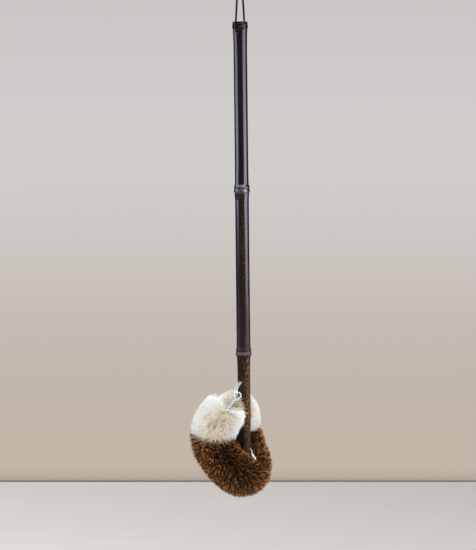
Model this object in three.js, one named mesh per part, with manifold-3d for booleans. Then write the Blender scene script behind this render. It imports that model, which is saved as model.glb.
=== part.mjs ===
// A hanging scrubbing brush: a black bamboo handle with a twisted-wire fibre brush bent into a ring
// round its lower end, tied on with two wires and hung on a cord loop.
// Millimetres, +Z up. The origin is where the cord loop lies on its hook. Seen from the front the
// viewer looks along +Y with +X to the right.
import * as THREE from 'three';
import { mergeVertices } from 'three/addons/utils/BufferGeometryUtils.js';
import Module from 'manifold-3d';

const wasm = await Module();
wasm.setup();

const vec = (x, y, z) => new THREE.Vector3(x, y, z);
const radians = THREE.MathUtils.degToRad;
const TURN = 2 * Math.PI;
const UP = vec(0, 0, 1);

// Handle. A depth is measured along the culm, down from its sawn rim.
const RIM_CENTRE = vec(0.45, 0, -100);
const HANDLE_LENGTH = 438;
const LEAN_RIGHT = radians(0.64);
const HANDLE_SIDES = 28;
const NODE_DEPTHS = [5.5, 169.1, 332.9];
const CAVITY_RADIUS = 4;
const DIAPHRAGM = 2.4;
const VENT_RADIUS = 1.3;
// The outside of the culm: [depth, radius], with a sheath scar above each node's swelling.
const CULM_OUTLINE = [
  [0, 7.25], [1.6, 7.3], [2.6, 7.8], [3.7, 7.45], [5.5, 8.05], [7.1, 7.3], [12, 7.0],
  [25, 6.72], [148.5, 6.78], [162.4, 6.95], [164.8, 7.9], [166.9, 7.5], [169.1, 8.25], [171.2, 7.35],
  [177.5, 6.95], [228, 6.85], [317, 6.85], [326, 6.95], [328.6, 7.55], [330.6, 7.4], [332.9, 8.2],
  [335.2, 6.95], [340, 6.5], [351, 6.3], [400, 6.3], [438, 6.1],
];

// Holes across the handle: depth, radius, and the azimuth that each faces, from -Y towards -X.
const CORD_HOLE = { depth: 9.8, radius: 1.5, azimuth: radians(27) };
const UPPER_TIE_HOLE = { depth: 361, radius: 2.1, azimuth: radians(41) };
const LOWER_TIE_HOLE = { depth: 428.8, radius: 1.2, azimuth: radians(-66) };
const COUNTERSINK = 0.7;

// Cord loop: half of its route, [sideways from the handle's axis, above the hole].
const CORD_RADIUS = 0.95;
const CORD_SIDES = 8;
const CORD_STEPS = 78;
const CORD_HALF = [
  [3.5, 0], [6.2, 0.05], [8.2, 0.9], [9.25, 2.9], [9.35, 6], [9.15, 12], [7.2, 40], [5.1, 70],
  [3.35, 96], [3.1, 102], [2.6, 107.4], [1.5, 110],
];
const KNOT_HEIGHT = 96;
const KNOT_RADIUS = 2.3;
const KNOT_HALF_LENGTH = 3.1;
const KNOT_TAIL = 7;

// Core wire: one wire folded into an eyelet. Its two legs are twisted together, along a bare tail
// and then inside the fibre, and one leg's end is wound round the tail to close the ring.
const WIRE_RADIUS = 0.7;
const WIRE_SIDES = 6;
const LEG_OFFSET = 0.88;
const TAIL_LAY = 6;
const CORE_LAY = 14;
const STEPS_PER_LAY = 7;
const EYELET_CENTRE = vec(-1.9, -19, -472.6);
const EYELET_RADIUS = 3.35;
const EYELET_PARTS = 12;
const TAIL_ROUTE = [[-4.6, -19.8, -476], [-9.1, -21.2, -482]];
const CLAMP_RADIUS = 2.5;
const CLAMP_LAY = 1.8;
const CLAMP_TURNS = 1;
const CLAMP_STEPS = 10;

// The core's route inside the fibre, from the front end round the bend to the rear end.
const RING_ROUTE = [
  [-14.5, -22, -487.7], [-20.7, -23.8, -495.2], [-24.4, -24.4, -502.7], [-25.7, -22.8, -510.8],
  [-24.8, -20.2, -519.2], [-21.2, -17.5, -528.4], [-13.5, -14.5, -539.2], [-4, -9.5, -549.2],
  [4, -2.5, -553.3], [8.8, 6, -549.5], [8.1, 14, -541.7], [3.8, 20, -531.2],
  [-0.2, 23, -518.4], [-1.9, 22, -505.2], [-2.5, 16.5, -496.2], [-4, 8.5, -491.8],
  [-5.7, 3, -490.5],
];

// Fibre packs one after the other along the core, the planes between them measured from its start.
const GAP = 0.3;
const FRONT_WHITE = { cuts: [0, 12.5, 25], radius: 23.8 };
const BROWN = { cuts: [25, 40, 55, 72, 89, 106, 123, 141], radius: 23.6 };
const REAR_WHITE = { length: 15.5, radius: 23.4 };
const FIBRE_SIDES = 18;
const FIBRE_STEP = 3.4;
const DOMES = [4.5, 9];
const END_SHARES = [0.8, 0.6];
const CORE_BORE = 2.2;
const CROWDING = 0.93;

// Tie wires.
const TIE_RADIUS = 0.6;
const TIE_SIDES = 6;
const PIGTAIL_LAY = 4;
const PIGTAIL_OFFSET = 0.8;
const HOLE_OFFSET = 1.4;
const EYELET_TIE_ANGLE = radians(250);
const BIGHT_RADIUS = 1.75;
const BIGHT_SKEW = 1.1;
const LOWER_ROUTE = [
  [-2, 3.3, -530], [-2.9, 3.7, -533.3], [-2.5, 3.6, -539.8], [0.6, 1.5, -550.3],
  [2.2, 0.2, -554.4], [4.5, -2, -556.4], [6.8, -4.2, -554.4], [8.4, -5.2, -550.3],
  [11.4, -6.8, -542.8], [12.9, -7.8, -537.8], [12.6, -8.5, -534.8],
];
const LOWER_PIGTAIL = [[16, -10.8, -538], [12.6, -9, -532.6]];

const material = (color, roughness, metalness = 0) =>
  new THREE.MeshStandardMaterial({ color, roughness, metalness });
const BAMBOO = material(0x2a1d15, 0.32);
const CORD = material(0x0b0a0a, 0.7);
const STEEL = material(0xd5d9de, 0.25, 1);
const WHITE_FIBRE = material(0xe9e2d0, 0.9);
const BROWN_FIBRE = material(0x4a2b17, 0.9);

const brush = new THREE.Group();

function add(name, geometry, itsMaterial) {
  const mesh = new THREE.Mesh(geometry, itsMaterial);
  mesh.name = name;
  brush.add(mesh);
  return mesh;
}

// ---- solids and booleans -------------------------------------------------------------------

function toSolid(geometry) {
  const bare = geometry.clone();
  bare.deleteAttribute('normal');
  bare.deleteAttribute('uv');
  const merged = mergeVertices(bare, 1e-3);
  const vertProperties = merged.attributes.position.array;
  const triVerts = new Uint32Array(merged.index.array);
  return new wasm.Manifold(new wasm.Mesh({ numProp: 3, vertProperties, triVerts }));
}

function toGeometry(solid) {
  const mesh = solid.getMesh();
  const geometry = new THREE.BufferGeometry();
  geometry.setAttribute('position', new THREE.BufferAttribute(mesh.vertProperties, 3));
  geometry.setIndex(new THREE.BufferAttribute(mesh.triVerts, 1));
  geometry.computeVertexNormals();
  return geometry;
}

// Turns an outline of [radius, height] points round the Z axis.
function turned(outline, sides) {
  const profile = outline.map(([radius, height]) => new THREE.Vector2(radius, height));
  return new THREE.LatheGeometry(profile, sides).rotateX(Math.PI / 2);
}

// A round rod of one radius through a list of points, with a ring of corners at each point or, when
// a number of steps is given, at that many even steps.
function rod(points, radius, sides, steps = 0) {
  const section = [];
  for (let i = 0; i < sides; i += 1) {
    const angle = TURN * i / sides;
    section.push(new THREE.Vector2(radius * Math.cos(angle), radius * Math.sin(angle)));
  }
  const extrudePath = new THREE.CatmullRomCurve3(points, false, 'centripetal');
  extrudePath.arcLengthDivisions = 12 * points.length;
  if (!steps) extrudePath.getUtoTmapping = (share) => share;
  const options = { steps: steps || points.length - 1, extrudePath };
  return new THREE.ExtrudeGeometry(new THREE.Shape(section), options);
}

// ---- handle --------------------------------------------------------------------------------

const culmUp = vec(-Math.tan(LEAN_RIGHT), 0, 1).normalize();
const culmTurn = new THREE.Quaternion().setFromUnitVectors(UP, culmUp);
const culmFrame = new THREE.Matrix4().compose(RIM_CENTRE, culmTurn, vec(1, 1, 1));

// The direction of an azimuth, from -Y towards -X.
const facing = (azimuth) => vec(-Math.sin(azimuth), -Math.cos(azimuth), 0);

// A point of the handle: so far down the culm, and so far out from its axis towards an azimuth.
function onHandle(depth, azimuth = 0, out = 0, sideways = 0) {
  const across = vec(-Math.cos(azimuth), Math.sin(azimuth), 0).multiplyScalar(sideways);
  const local = facing(azimuth).multiplyScalar(out).add(across).setZ(-depth);
  return local.applyMatrix4(culmFrame);
}

function radiusAt(depth) {
  const after = CULM_OUTLINE.findIndex(([d]) => d >= depth);
  const [d1, r1] = CULM_OUTLINE[Math.max(after, 1)];
  const [d0, r0] = CULM_OUTLINE[Math.max(after, 1) - 1];
  return r0 + (r1 - r0) * (depth - d0) / (d1 - d0);
}

// The inside of the culm from the bottom up: wide between nodes, a small vent through each node.
function cavityOutline() {
  const outline = [[CAVITY_RADIUS, -HANDLE_LENGTH]];
  for (const depth of [...NODE_DEPTHS].reverse()) {
    outline.push([CAVITY_RADIUS, -depth - DIAPHRAGM / 2], [VENT_RADIUS, -depth - DIAPHRAGM / 2]);
    outline.push([VENT_RADIUS, -depth + DIAPHRAGM / 2], [CAVITY_RADIUS, -depth + DIAPHRAGM / 2]);
  }
  return [...outline, [CAVITY_RADIUS, 0]];
}

// A straight hole right across the culm with a small countersink at each mouth.
function crossHole({ depth, radius, azimuth }) {
  const surface = radiusAt(depth);
  const mouth = radius + COUNTERSINK;
  const reach = surface + 3;
  const half = [[radius, surface - COUNTERSINK], [mouth, surface], [mouth + 3, reach]];
  const mirrored = half.map(([r, h]) => [r, -h]).reverse();
  const cutter = turned([[0, -reach], ...mirrored, ...half, [0, reach]], 16);
  const turn = new THREE.Quaternion().setFromUnitVectors(UP, facing(azimuth));
  return toSolid(cutter.applyQuaternion(turn).translate(0, 0, -depth));
}

function bambooHandle() {
  const outside = CULM_OUTLINE.map(([depth, radius]) => [radius, -depth]).reverse();
  const inside = cavityOutline().reverse();
  const outline = [...outside, ...inside, outside[0]];
  let culm = toSolid(turned(outline, HANDLE_SIDES));
  for (const hole of [CORD_HOLE, UPPER_TIE_HOLE, LOWER_TIE_HOLE]) {
    culm = culm.subtract(crossHole(hole));
  }
  const mesh = add('bamboo_handle', toGeometry(culm), BAMBOO);
  mesh.position.copy(RIM_CENTRE);
  mesh.quaternion.copy(culmTurn);
}

// The room that the fibre leaves for the handle's lower part.
function handleRoom() {
  const outline = [[0, -HANDLE_LENGTH - GAP], [radiusAt(HANDLE_LENGTH) + GAP, -HANDLE_LENGTH - GAP]];
  const top = 345;
  outline.push([radiusAt(400) + GAP, -400], [radiusAt(top) + GAP, -top], [0, -top]);
  return toSolid(turned(outline, HANDLE_SIDES).applyMatrix4(culmFrame));
}

// ---- cord loop -----------------------------------------------------------------------------

const cordHole = onHandle(CORD_HOLE.depth);
const hook = vec(0, 0, CORD_RADIUS);

// A point in the cord loop's own upright plane, which leans from the hole to the hook.
function inCordPlane(sideways, height) {
  const share = height / (hook.z - cordHole.z);
  const middle = cordHole.clone().lerp(hook, share);
  return facing(CORD_HOLE.azimuth).multiplyScalar(sideways).add(middle);
}

function hangingCord() {
  const front = CORD_HALF.map(([sideways, height]) => inCordPlane(sideways, height));
  const rear = CORD_HALF.map(([sideways, height]) => inCordPlane(-sideways, height));
  const above = rear.filter((point) => point.z > cordHole.z + KNOT_HEIGHT + KNOT_HALF_LENGTH);
  const below = rear.filter((point) => point.z < cordHole.z + KNOT_HEIGHT - KNOT_HALF_LENGTH);
  const knot = inCordPlane(-CORD_HALF[8][0], KNOT_HEIGHT);
  const along = below.at(-1).clone().sub(knot).normalize().multiplyScalar(KNOT_HALF_LENGTH + GAP);
  const start = knot.clone().add(along);
  const end = knot.clone().sub(along);
  const route = [start, ...below.reverse(), ...front, hook, ...above.reverse(), end];
  add('hanging_cord', rod(route, CORD_RADIUS, CORD_SIDES, CORD_STEPS), CORD);
}

// The knot that joins the cord's two ends, with both cut ends standing out of it.
function cordKnot() {
  const outline = [];
  const rings = 8;
  for (let i = 0; i <= rings; i += 1) {
    const angle = Math.PI * i / rings;
    outline.push([KNOT_RADIUS * Math.sin(angle), -KNOT_HALF_LENGTH * Math.cos(angle)]);
  }
  outline[0][0] = 0;
  outline[rings][0] = 0;
  let knot = toSolid(turned(outline, 14));
  for (const side of [-1, 1]) {
    const tail = [vec(0, 0, 0), vec(1.6 * side, 0, -1), vec(2.8 * side, 0, -KNOT_TAIL / 2)];
    tail.push(vec(3.1 * side, 0.4 * side, -KNOT_TAIL));
    knot = knot.add(toSolid(rod(tail, CORD_RADIUS, CORD_SIDES, 8)));
  }
  const place = inCordPlane(-CORD_HALF[8][0], KNOT_HEIGHT);
  const mesh = add('cord_knot', toGeometry(knot), CORD);
  mesh.position.copy(place);
}

// ---- core of the brush ---------------------------------------------------------------------

const toPoints = (route) => route.map(([x, y, z]) => vec(x, y, z));
const coreCurve = new THREE.CatmullRomCurve3(toPoints([...TAIL_ROUTE, ...RING_ROUTE]));
coreCurve.arcLengthDivisions = 2000;
const coreLength = coreCurve.getLength();
const FRAME_COUNT = 240;
const coreFrames = coreCurve.computeFrenetFrames(FRAME_COUNT, false);
const corePoints = coreCurve.getSpacedPoints(FRAME_COUNT);
const fibreStart = coreCurve.getLengths(2000)[Math.round(
  2000 * TAIL_ROUTE.length / (TAIL_ROUTE.length + RING_ROUTE.length - 1),
)];
const fibreLength = coreLength - fibreStart;

// The core's point and cross directions at a length along it, counted from the eyelet. Past an end
// the core runs straight on.
function coreAt(length) {
  const share = THREE.MathUtils.clamp(length / coreLength, 0, 1);
  const low = Math.min(Math.floor(share * FRAME_COUNT), FRAME_COUNT - 1);
  const part = share * FRAME_COUNT - low;
  const between = (list) => list[low].clone().lerp(list[low + 1], part).normalize();
  const tangent = between(coreFrames.tangents);
  const point = coreCurve.getPointAt(share).addScaledVector(tangent, length - share * coreLength);
  const normal = between(coreFrames.normals);
  return { point, tangent, normal, binormal: between(coreFrames.binormals) };
}

// A point beside the core, at an angle round it.
function besideCore(length, angle, radius) {
  const { point, normal, binormal } = coreAt(length);
  point.addScaledVector(normal, radius * Math.cos(angle));
  return point.addScaledVector(binormal, radius * Math.sin(angle));
}

// The angle round the core that a direction has at a length along it.
function angleRound(length, direction) {
  const { normal, binormal } = coreAt(length);
  return Math.atan2(direction.dot(binormal), direction.dot(normal));
}

// How far the legs have turned round each other at a length: tightly along the tail, then slower.
function legAngle(length) {
  const tail = Math.min(length, fibreStart);
  return TURN * (tail / TAIL_LAY + (length - tail) / CORE_LAY);
}

// One of the two twisted legs, from the eyelet to an end length.
function leg(startAngle, end) {
  const points = [];
  for (let length = 0; length < end;) {
    points.push(besideCore(length, startAngle + legAngle(length), LEG_OFFSET));
    length += (length < fibreStart ? TAIL_LAY : CORE_LAY) / STEPS_PER_LAY;
  }
  return points;
}

// The eyelet lies in the plane of the tail and of a sideways direction that faces the front.
const eyeletAway = coreAt(0).point.sub(EYELET_CENTRE).normalize();
const eyeletAcross = eyeletAway.clone().cross(vec(0, 1, 0)).normalize();

// The direction from the eyelet's centre at an angle from the tail.
function inEyelet(angle) {
  const direction = eyeletAway.clone().multiplyScalar(Math.cos(angle));
  return direction.addScaledVector(eyeletAcross, Math.sin(angle));
}

const onEyelet = (angle) => inEyelet(angle).multiplyScalar(EYELET_RADIUS).add(EYELET_CENTRE);

// The eyelet's bow, from one leg's start round to the other's.
function eyelet() {
  const points = [];
  for (let i = 0; i <= EYELET_PARTS; i += 1) {
    points.push(onEyelet(radians(38) + radians(284) * i / EYELET_PARTS));
  }
  return points;
}

// The end of a leg that comes from the rear end and is wound round the foot of the tail.
function clamp(from) {
  const start = fibreStart - 1;
  const { point, tangent } = coreAt(start);
  const arrival = point.sub(from);
  const first = angleRound(start, arrival.clone().cross(tangent));
  const points = [from.clone().addScaledVector(arrival, 0.35), from.clone().addScaledVector(arrival, 0.7)];
  for (let i = 0; i <= CLAMP_TURNS * CLAMP_STEPS; i += 1) {
    const turns = i / CLAMP_STEPS;
    points.push(besideCore(start - CLAMP_LAY * turns, first + TURN * turns, CLAMP_RADIUS));
  }
  return points;
}

function coreWire() {
  const startAngle = angleRound(0, eyeletAcross);
  const short = leg(startAngle, coreLength - 1);
  const long = leg(startAngle + Math.PI, coreLength + 1);
  const route = [...short.reverse(), ...eyelet(), ...long, ...clamp(long.at(-1))];
  add('core_wire', rod(route, WIRE_RADIUS, WIRE_SIDES), STEEL);
}

// ---- tie wires -----------------------------------------------------------------------------

// Two wire ends twisted round each other along a line: both lists run from the tips inwards.
function pigtail(tip, foot, across) {
  const along = foot.clone().sub(tip);
  const long = along.length();
  const second = along.clone().cross(across).normalize();
  const first = second.clone().cross(along).normalize();
  const steps = Math.ceil(STEPS_PER_LAY * long / PIGTAIL_LAY);
  const ends = [[], []];
  for (let i = 0; i <= steps; i += 1) {
    const share = i / steps;
    const angle = TURN * (share - 1) * long / PIGTAIL_LAY;
    ends.forEach((points, k) => {
      const side = PIGTAIL_OFFSET * (k ? -1 : 1);
      const point = tip.clone().addScaledVector(along, share);
      point.addScaledVector(first, side * Math.cos(angle));
      points.push(point.addScaledVector(second, side * Math.sin(angle)));
    });
  }
  return ends;
}

// Adds a tie wire and returns the room that the fibre leaves for it, made in two halves because the
// rooms of the two twisted ends run into each other.
function tieWire(name, route) {
  add(name, rod(route, TIE_RADIUS, TIE_SIDES), STEEL);
  const middle = Math.floor(route.length / 2);
  const halves = [route.slice(0, middle + 2), route.slice(middle - 1)];
  const [one, other] = halves.map((half) => toSolid(rod(half, TIE_RADIUS + 1.5 * GAP, TIE_SIDES)));
  return one.add(other);
}

// The bend of the upper tie wire round the eyelet's wire, from behind it to in front of it, with its
// two legs side by side.
function bight() {
  const outwards = inEyelet(EYELET_TIE_ANGLE);
  const leftwards = inEyelet(EYELET_TIE_ANGLE + Math.PI / 2);
  const behind = leftwards.clone().cross(outwards);
  return [110, 60, 20, -20, -60, -110].map((degrees) => {
    const point = onEyelet(EYELET_TIE_ANGLE);
    point.addScaledVector(outwards, -BIGHT_RADIUS * Math.cos(radians(degrees)));
    point.addScaledVector(leftwards, BIGHT_SKEW * degrees / 110);
    return point.addScaledVector(behind, BIGHT_RADIUS * Math.sin(radians(degrees)));
  });
}

// From twisted ends behind the handle, through its hole and the eyelet, and back the same way.
function upperTieWire() {
  const { depth, azimuth } = UPPER_TIE_HOLE;
  const inHole = (out, side) => onHandle(depth, azimuth, out, side * HOLE_OFFSET);
  const tip = onHandle(depth - 11, azimuth - radians(29), -8.3);
  const across = inHole(0, 1).sub(inHole(0, 0));
  const [one, other] = pigtail(tip, onHandle(depth - 2, azimuth, -8.3), across);
  const out = [-6.4, 0, 6.4];
  const there = out.map((reach) => inHole(reach, 1));
  const back = out.map((reach) => inHole(reach, -1)).reverse();
  return tieWire('upper_tie_wire', [...one, ...there, ...bight(), ...back, ...other.reverse()]);
}

// From twisted ends beside the handle, through its hole, down under the core and back up.
function lowerTieWire() {
  const { depth, azimuth } = LOWER_TIE_HOLE;
  const [tip, foot] = toPoints(LOWER_PIGTAIL);
  const [one, other] = pigtail(tip, foot, vec(0, 1, 0));
  const through = [7, 0, -6.6].map((out) => onHandle(depth, azimuth, out));
  const below = toPoints(LOWER_ROUTE);
  return tieWire('lower_tie_wire', [...one, ...through, ...below, ...other.reverse()]);
}

// ---- fibre packs ---------------------------------------------------------------------------

// How far a fibre reaches from the core before it meets fibre from elsewhere along the core: half
// way to it, as the fibres crowd against each other.
function freeReach(point, direction) {
  let reach = Infinity;
  for (const other of corePoints.slice(Math.floor(FRAME_COUNT * fibreStart / coreLength))) {
    const apart = other.clone().sub(point);
    const towards = apart.dot(direction);
    if (towards > 1e-3) reach = Math.min(reach, apart.lengthSq() / (2 * towards));
  }
  return CROWDING * reach - GAP;
}

// The brush's radius at a length of fibre, rounded off towards both ends.
function fibreRadius(along, radius) {
  const rear = along > fibreLength / 2 ? 1 : 0;
  const fromEnd = rear ? fibreLength - along : along;
  const share = THREE.MathUtils.clamp(fromEnd / DOMES[rear], 0, 1);
  const end = END_SHARES[rear];
  return radius * (end + (1 - end) * Math.sqrt(1 - (1 - share) ** 2));
}

// One ring of corners across the core, shifted along it.
function fibreRing(along, shift, radius) {
  const { point, tangent, normal, binormal } = coreAt(fibreStart + along);
  const centre = point.clone().addScaledVector(tangent, shift);
  const ring = [];
  for (let i = 0; i < FIBRE_SIDES; i += 1) {
    const angle = TURN * i / FIBRE_SIDES;
    const direction = normal.clone().multiplyScalar(Math.cos(angle));
    direction.addScaledVector(binormal, Math.sin(angle));
    const reach = Math.max(Math.min(radius, freeReach(point, direction)), Math.min(radius, CORE_BORE + 2));
    ring.push(centre.clone().addScaledVector(direction, reach));
  }
  return ring;
}

// A pack between two planes across the core, with a bore for the core wire.
function packSolid(from, to, radius) {
  const steps = Math.ceil((to - from) / FIBRE_STEP);
  const stations = [];
  for (let i = 0; i <= steps; i += 1) {
    const shift = i === 0 ? GAP / 2 : i === steps ? -GAP / 2 : 0;
    stations.push({ along: from + (to - from) * i / steps, shift });
  }
  const outer = stations.map(({ along, shift }) => fibreRing(along, shift, fibreRadius(along, radius)));
  const bore = stations.map(({ along, shift }) => fibreRing(along, shift, CORE_BORE)).reverse();
  const loops = [...outer, ...bore];
  const index = [];
  loops.forEach((loop, i) => {
    const here = i * FIBRE_SIDES;
    const next = (i + 1) % loops.length * FIBRE_SIDES;
    loop.forEach((corner, j) => {
      const after = (j + 1) % FIBRE_SIDES;
      index.push(here + j, here + after, next + after, here + j, next + after, next + j);
    });
  });
  const geometry = new THREE.BufferGeometry().setFromPoints(loops.flat());
  geometry.setIndex(index);
  return toSolid(geometry);
}

const largest = (solid) => solid.decompose().sort((a, b) => b.volume() - a.volume())[0];

function fibrePacks(name, cuts, radius, itsMaterial, rooms) {
  cuts.slice(1).forEach((to, i) => {
    let pack = packSolid(cuts[i], to, radius);
    for (const room of rooms) pack = pack.subtract(room);
    add(`${name}_${i + 1}`, toGeometry(largest(pack)), itsMaterial);
  });
}

bambooHandle();
hangingCord();
cordKnot();
coreWire();
const rooms = [handleRoom(), upperTieWire(), lowerTieWire()];
fibrePacks('front_white_fibre', FRONT_WHITE.cuts, FRONT_WHITE.radius, WHITE_FIBRE, rooms);
fibrePacks('brown_fibre', BROWN.cuts, BROWN.radius, BROWN_FIBRE, rooms);
const rearCuts = [BROWN.cuts.at(-1), fibreLength - REAR_WHITE.length, fibreLength];
fibrePacks('rear_white_fibre', rearCuts, REAR_WHITE.radius, WHITE_FIBRE, rooms);

export default brush;
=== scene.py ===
import math

import bmesh
import bpy
import numpy as np
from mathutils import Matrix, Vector, noise


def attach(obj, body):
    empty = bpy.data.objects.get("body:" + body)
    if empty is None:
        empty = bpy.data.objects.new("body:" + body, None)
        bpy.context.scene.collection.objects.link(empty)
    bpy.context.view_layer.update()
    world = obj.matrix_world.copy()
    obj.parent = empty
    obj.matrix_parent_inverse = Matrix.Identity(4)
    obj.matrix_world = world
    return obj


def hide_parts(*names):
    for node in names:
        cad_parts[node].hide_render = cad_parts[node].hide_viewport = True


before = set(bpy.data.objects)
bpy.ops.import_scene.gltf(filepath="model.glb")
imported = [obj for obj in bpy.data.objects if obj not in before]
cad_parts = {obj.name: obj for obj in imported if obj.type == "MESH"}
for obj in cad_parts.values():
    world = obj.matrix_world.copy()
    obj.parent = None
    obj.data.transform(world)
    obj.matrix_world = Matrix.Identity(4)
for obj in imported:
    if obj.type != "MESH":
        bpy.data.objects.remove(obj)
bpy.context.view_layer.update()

# Shapes are worked out in millimetres in the shared frame, and made in metres.
MM = 0.001
TURN = 2 * math.pi
rng = np.random.default_rng(11)
noise.seed_set(11)


def unit(v):
    return v / np.linalg.norm(v, axis=-1, keepdims=True)


# ---- camera --------------------------------------------------------------------------------

CAMERA_ELEVATION = math.radians(5)
CAMERA_DISTANCE = 5.0
CAMERA_TARGET = Vector((-0.0015, 0, -0.3533))
PICTURE_HEIGHT = 0.55
SENSOR = 36

back = Vector((0, -math.cos(CAMERA_ELEVATION), math.sin(CAMERA_ELEVATION)))
camera_data = bpy.data.cameras.new("camera")
camera_data.sensor_width = SENSOR
camera_data.lens = SENSOR * CAMERA_DISTANCE / PICTURE_HEIGHT
camera_data.clip_start = 0.1
camera_data.clip_end = 6 * CAMERA_DISTANCE
camera = bpy.data.objects.new("camera", camera_data)
camera.location = CAMERA_TARGET + CAMERA_DISTANCE * back
camera.rotation_euler = (math.pi / 2 - CAMERA_ELEVATION, 0, 0)
bpy.context.collection.objects.link(camera)
bpy.context.scene.camera = camera


# ---- curves --------------------------------------------------------------------------------

def smooth(points, per):
    """A centripetal Catmull-Rom curve through the points, with so many steps between two."""
    p = np.array(points, float)
    p = np.vstack([2 * p[0] - p[1], p, 2 * p[-1] - p[-2]])
    out = []
    for p0, p1, p2, p3 in zip(p, p[1:], p[2:], p[3:]):
        d0, d1, d2 = (math.sqrt(np.linalg.norm(b - a)) for a, b in ((p0, p1), (p1, p2), (p2, p3)))
        m1 = ((p1 - p0) / d0 - (p2 - p0) / (d0 + d1) + (p2 - p1) / d1) * d1
        m2 = ((p2 - p1) / d1 - (p3 - p1) / (d1 + d2) + (p3 - p2) / d2) * d1
        for k in range(per):
            t = k / per
            cubic = 2 * p1 - 2 * p2 + m1 + m2
            square = -3 * p1 + 3 * p2 - 2 * m1 - m2
            out.append(p1 + m1 * t + square * t * t + cubic * t ** 3)
    out.append(p[-2])
    return np.array(out)


def lengths(points):
    """How far along the line each of its points is."""
    return np.r_[0, np.cumsum(np.linalg.norm(np.diff(points, axis=0), axis=1))]


def transported(points):
    """Tangents and two cross directions carried along a line without twist."""
    tangents = unit(np.gradient(points, axis=0))
    seed = np.eye(3)[np.argmin(np.abs(tangents[0]))]
    normal = unit(np.cross(tangents[0], seed))
    normals = []
    for t in tangents:
        normal = unit(normal - t * (normal @ t))
        normals.append(normal)
    normals = np.array(normals)
    return tangents, normals, np.cross(tangents, normals)


# ---- handle's own frame ----------------------------------------------------------------------

RIM_CENTRE = np.array((0.45, 0, -100.0))
HANDLE_LENGTH = 438
LEAN_RIGHT = math.radians(0.64)
CULM_UP = Vector((-math.tan(LEAN_RIGHT), 0, 1)).normalized()
CULM_TURN = np.array(Vector((0, 0, 1)).rotation_difference(CULM_UP).to_matrix())


def facing(azimuth):
    """The handle's own direction at an azimuth. 0 is towards the camera, + to the left."""
    return np.array((-math.sin(azimuth), -math.cos(azimuth), 0))


def on_handle(depth, azimuth=0.0, out=0.0, sideways=0.0):
    """A point so far down the culm, and so far out from its axis towards an azimuth, in mm."""
    across = np.array((-math.cos(azimuth), math.sin(azimuth), 0)) * sideways
    local = facing(azimuth) * out + across - np.array((0, 0, depth))
    return CULM_TURN @ local + RIM_CENTRE


# ---- cord loop -------------------------------------------------------------------------------

CORD_RADIUS = 0.95
CORD_PER = 8
CORD_HOLE = dict(depth=9.8, radius=1.5, azimuth=math.radians(27))
# Half of the loop: millimetres out from its middle line, and up from the hole.
CORD_HALF = [
    (0.7, 0), (3.5, 0), (6.2, 0.05), (8.2, 0.9), (9.25, 2.9), (9.35, 6), (9.0, 12), (6.35, 34),
    (4.6, 64), (3.35, 96), (3.1, 102), (2.6, 107.4), (1.5, 110),
]
KNOT_HEIGHT = 96
HOOK = np.array((0, 0, CORD_RADIUS))
cord_hole = on_handle(CORD_HOLE["depth"])


def in_cord_plane(sideways, height):
    """A point beside the straight line from the cord's hole up to the hook."""
    share = height / (HOOK[2] - cord_hole[2])
    middle = cord_hole + (HOOK - cord_hole) * share
    return facing(CORD_HOLE["azimuth"]) * sideways + middle


front_strand = [in_cord_plane(s, h) for s, h in CORD_HALF]
rear_strand = [in_cord_plane(-s, h) for s, h in CORD_HALF]
cord_line = smooth([*front_strand, HOOK, *rear_strand[::-1]], CORD_PER) * MM
cord_curve = bpy.data.curves.new("hanging_cord_line", "CURVE")
cord_curve.dimensions = "3D"
cord_curve.bevel_depth = CORD_RADIUS * MM
cord_curve.bevel_resolution = 5
cord_curve.use_fill_caps = True
spline = cord_curve.splines.new("POLY")
spline.points.add(len(cord_line) - 1)
for point, place in zip(spline.points, cord_line):
    point.co = (*place, 1)
cord = bpy.data.objects.new("waxed_cord", cord_curve)
bpy.context.collection.objects.link(cord)


# ---- materials -------------------------------------------------------------------------------

def new_material(name, color, roughness, metallic=0.0, **values):
    made = bpy.data.materials.new(name)
    made.use_nodes = True
    shader = made.node_tree.nodes["Principled BSDF"]
    shader.inputs["Base Color"].default_value = (*color, 1)
    shader.inputs["Roughness"].default_value = roughness
    shader.inputs["Metallic"].default_value = metallic
    for socket, value in values.items():
        shader.inputs[socket.replace("_", " ")].default_value = value
    return made


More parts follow.
